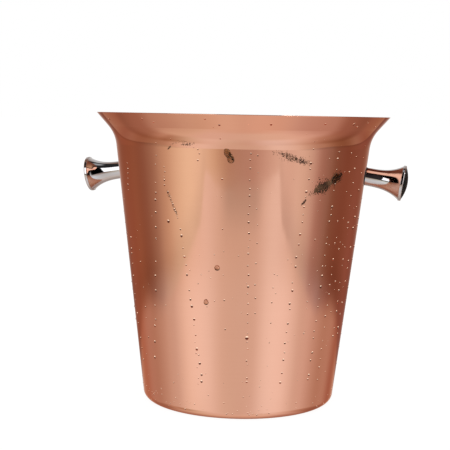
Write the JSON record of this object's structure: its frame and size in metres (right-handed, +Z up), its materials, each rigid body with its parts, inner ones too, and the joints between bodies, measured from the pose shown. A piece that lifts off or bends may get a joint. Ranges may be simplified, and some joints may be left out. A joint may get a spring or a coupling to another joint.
{
  "type": "ice bucket",
  "caption": "Free-standing single-wall ice bucket for cooling wine, with a tapered side, a flared lip and a flared knob handle screwed to each side.",
  "frame": {"origin": "on the table under the centre of the base, which is the bottom centre of the bounding box", "axes": "+Z up the bucket's own axis; +X through the two knobs, which is the longest extent; Y across them"},
  "size_m": [0.2604, 0.2298, 0.2265],
  "materials": {
    "copper_plate": "stainless steel with satin rose-copper plating, inside and out",
    "knob_chrome": "mirror-bright plating",
    "cap_black": "gloss black inlay",
    "fastener_steel": "plain stainless steel",
    "insert_brass": "turned",
    "seal_rubber": "matt black silicone",
    "condensation": "clear water beads, on the visual model only"
  },
  "bodies": {
    "root": {"bucket_shell": "copper_plate", "knob_left": "knob_chrome", "knob_right": "knob_chrome", "knob_end_cap_left": "cap_black", "knob_end_cap_right": "cap_black", "threaded_insert_left": "insert_brass", "threaded_insert_right": "insert_brass", "outer_gasket_left": "seal_rubber", "outer_gasket_right": "seal_rubber", "inner_seal_left": "seal_rubber", "inner_seal_right": "seal_rubber", "flat_washer_left": "fastener_steel", "flat_washer_right": "fastener_steel", "spring_washer_left": "fastener_steel", "spring_washer_right": "fastener_steel", "handle_screw_left": "fastener_steel", "handle_screw_right": "fastener_steel"}
  },
  "joints": []
}
